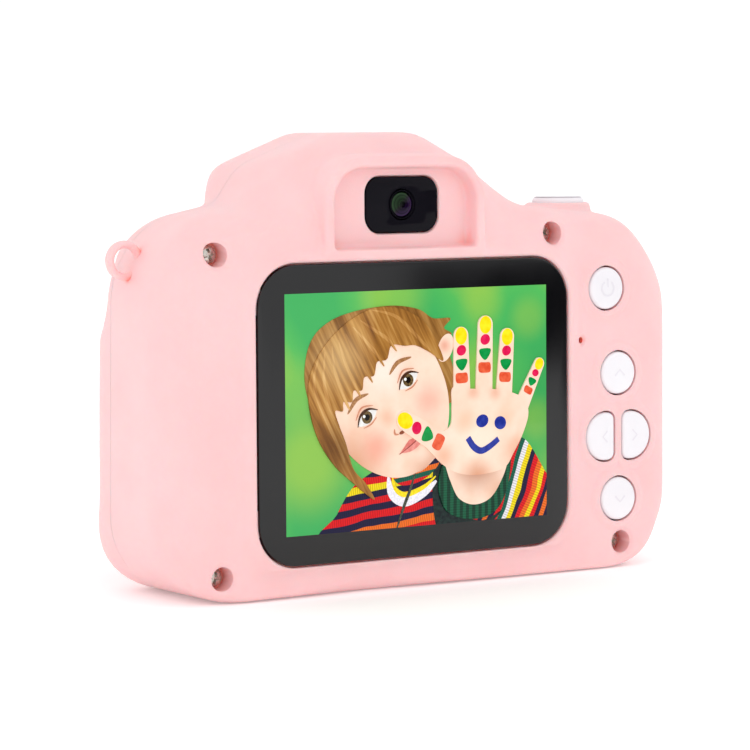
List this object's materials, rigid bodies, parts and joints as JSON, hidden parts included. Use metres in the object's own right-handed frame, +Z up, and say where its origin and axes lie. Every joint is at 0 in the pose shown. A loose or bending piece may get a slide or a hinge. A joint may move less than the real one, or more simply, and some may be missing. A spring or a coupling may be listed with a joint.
{
  "type": "kids digital camera",
  "caption": "Small toy camera with a rounded two-part casing, rear display, push buttons, viewfinder hood with a second lens, and a lens barrel.",
  "frame": {"origin": "middle of the flat base that the camera stands on", "axes": "+X along the camera's width towards the strap loop, +Y out of the display side, -Y along the lens's view, +Z up"},
  "size_m": [0.0825, 0.0435, 0.059],
  "materials": {
    "pink_plastic": "soft matt moulded ABS",
    "ring_pink": "satin moulded ABS",
    "white_plastic": "satin moulded ABS",
    "black_plastic": "satin black",
    "black_glass": "back-printed gloss acrylic",
    "lcd_glass": "lit display cell",
    "clear_plastic": "clear acrylic",
    "nickel_steel": "nickel plated",
    "board_green": "solder mask on glass fibre",
    "battery_foil": "laminated foil",
    "ribbon_amber": "polyimide film",
    "foam_grey": "adhesive foam",
    "led_yellow": "phosphor"
  },
  "bodies": {
    "camera_body": {"battery": "battery_foil", "battery_pad": "foam_grey", "board_screw_1": "nickel_steel", "board_screw_2": "nickel_steel", "board_screw_3": "nickel_steel", "board_screw_4": "nickel_steel", "card_socket": "nickel_steel", "case_screw_1": "nickel_steel", "case_screw_2": "nickel_steel", "case_screw_3": "nickel_steel", "case_screw_4": "nickel_steel", "display_glass": "black_glass", "down_switch": "black_plastic", "flash_board": "board_green", "flash_led": "led_yellow", "flash_window": "clear_plastic", "front_camera": "black_plastic", "front_camera_board": "board_green", "front_lens": "black_plastic", "front_lens_glass": "clear_plastic", "front_ribbon": "ribbon_amber", "front_shell": "pink_plastic", "lcd_backlight": "white_plastic", "lcd_foam": "foam_grey", "lcd_panel": "lcd_glass", "lcd_tray": "battery_foil", "left_switch": "black_plastic", "lens_face": "black_plastic", "lens_ring": "ring_pink", "lens_window": "clear_plastic", "main_board": "board_green", "memory_chip": "black_plastic", "microphone": "battery_foil", "power_switch": "black_plastic", "processor_chip": "black_plastic", "rear_shell": "pink_plastic", "right_switch": "black_plastic", "selfie_camera": "black_plastic", "selfie_lens": "black_glass", "selfie_ribbon": "ribbon_amber", "selfie_window": "black_glass", "shutter_board": "board_green", "shutter_switch": "black_plastic", "speaker": "black_plastic", "up_switch": "black_plastic", "usb_socket": "nickel_steel"},
    "power_button": {"power_button": "white_plastic"},
    "up_button": {"up_button": "white_plastic"},
    "left_button": {"left_button": "white_plastic"},
    "right_button": {"right_button": "white_plastic"},
    "down_button": {"down_button": "white_plastic"},
    "shutter_button": {"shutter_button": "white_plastic"},
    "memory_card": {"memory_card": "black_plastic"}
  },
  "joints": [
    {"name": "power_press", "type": "slide", "parent": "camera_body", "child": "power_button", "axis": [0, -1, 0], "range_m": [0, 0.0005], "stiffness_N_per_m": 600, "springref_m": -0.0003},
    {"name": "up_press", "type": "slide", "parent": "camera_body", "child": "up_button", "axis": [0, -1, 0], "range_m": [0, 0.0005], "stiffness_N_per_m": 600, "springref_m": -0.0003},
    {"name": "left_press", "type": "slide", "parent": "camera_body", "child": "left_button", "axis": [0, -1, 0], "range_m": [0, 0.0005], "stiffness_N_per_m": 600, "springref_m": -0.0003},
    {"name": "right_press", "type": "slide", "parent": "camera_body", "child": "right_button", "axis": [0, -1, 0], "range_m": [0, 0.0005], "stiffness_N_per_m": 600, "springref_m": -0.0003},
    {"name": "down_press", "type": "slide", "parent": "camera_body", "child": "down_button", "axis": [0, -1, 0], "range_m": [0, 0.0005], "stiffness_N_per_m": 600, "springref_m": -0.0003},
    {"name": "shutter_press", "type": "slide", "parent": "camera_body", "child": "shutter_button", "axis": [0, 0, -1], "range_m": [0, 0.0007], "stiffness_N_per_m": 600, "springref_m": -0.0003},
    {"name": "card_slide", "type": "slide", "parent": "camera_body", "child": "memory_card", "axis": [0, 0, -1], "range_m": [0, 0.012]}
  ]
}
